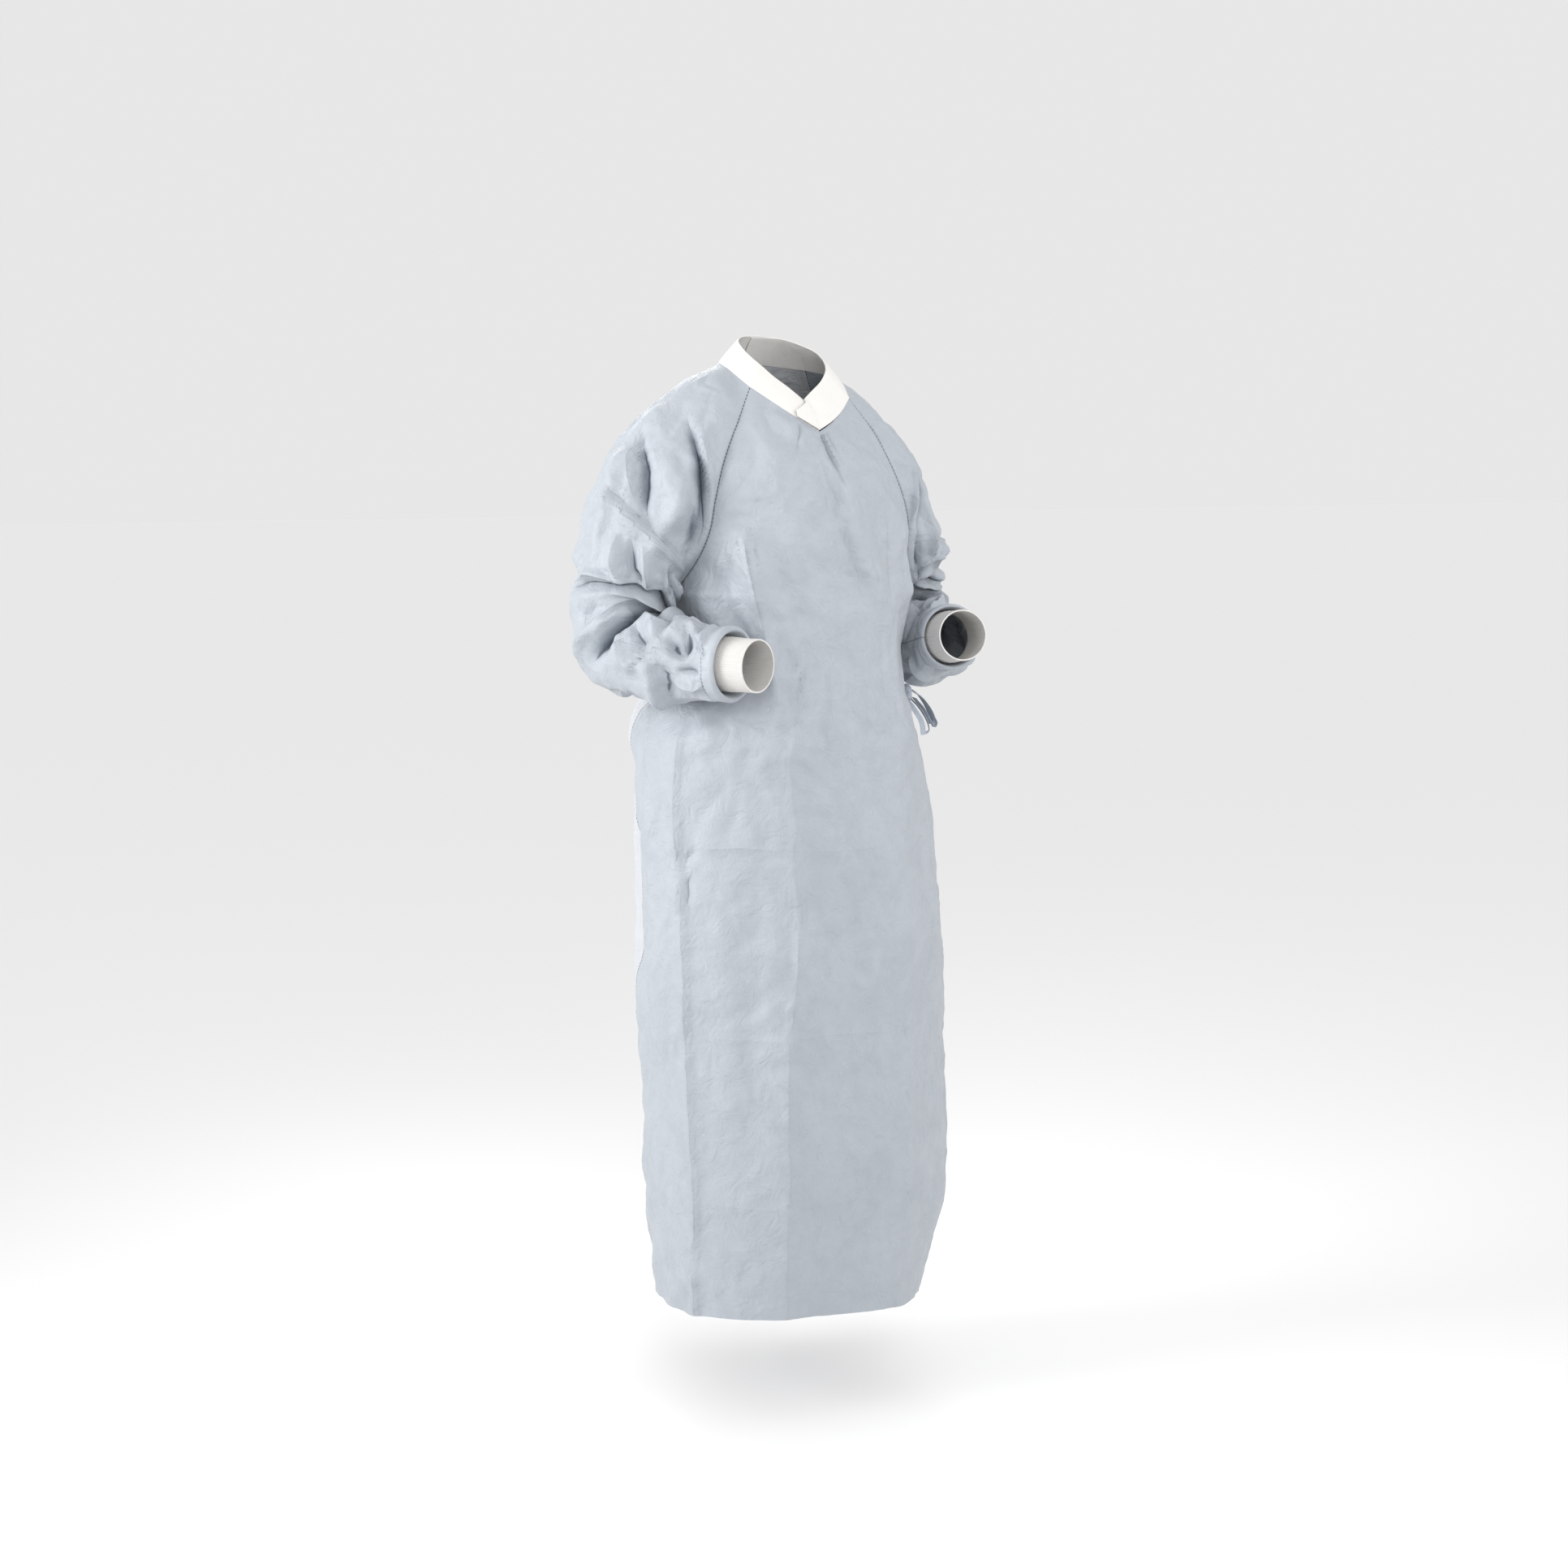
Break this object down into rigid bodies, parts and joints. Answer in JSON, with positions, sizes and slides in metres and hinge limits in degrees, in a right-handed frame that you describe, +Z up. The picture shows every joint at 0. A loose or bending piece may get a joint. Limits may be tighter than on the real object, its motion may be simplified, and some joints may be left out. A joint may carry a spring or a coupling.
{
  "type": "surgical gown",
  "caption": "Full-length worn surgical gown with raglan sleeves, V neck band, knitted cuffs, lapped back and a waist tie in a bow; it covers the wearer from neck to shin.",
  "frame": {"origin": "midway between the wearer's shoulders, level with the side of the neck, where the shoulders carry the gown", "axes": "+Z up, -Y to the front, +X to the wearer's left"},
  "size_m": [0.5856, 0.4111, 1.3672],
  "materials": {
    "gown_cloth": "matt non-woven, light blue-grey",
    "back_cloth": "matt non-woven, pale grey",
    "neck_band_cloth": "matt white binding",
    "cuff_knit": "ribbed white knit",
    "tie_cloth": "matt non-woven, light blue-grey"
  },
  "bodies": {
    "root": {"back_panel_left": "back_cloth", "back_panel_right": "back_cloth", "cuff_left": "cuff_knit", "cuff_right": "cuff_knit", "front_panel": "gown_cloth", "neck_band_left": "neck_band_cloth", "neck_band_right": "neck_band_cloth", "sleeve_left": "gown_cloth", "sleeve_right": "gown_cloth", "tie_knot": "tie_cloth", "tie_loop_lower": "tie_cloth", "tie_loop_upper": "tie_cloth", "tie_strap": "tie_cloth", "tie_tail_back": "tie_cloth", "tie_tail_front": "tie_cloth"}
  },
  "joints": []
}
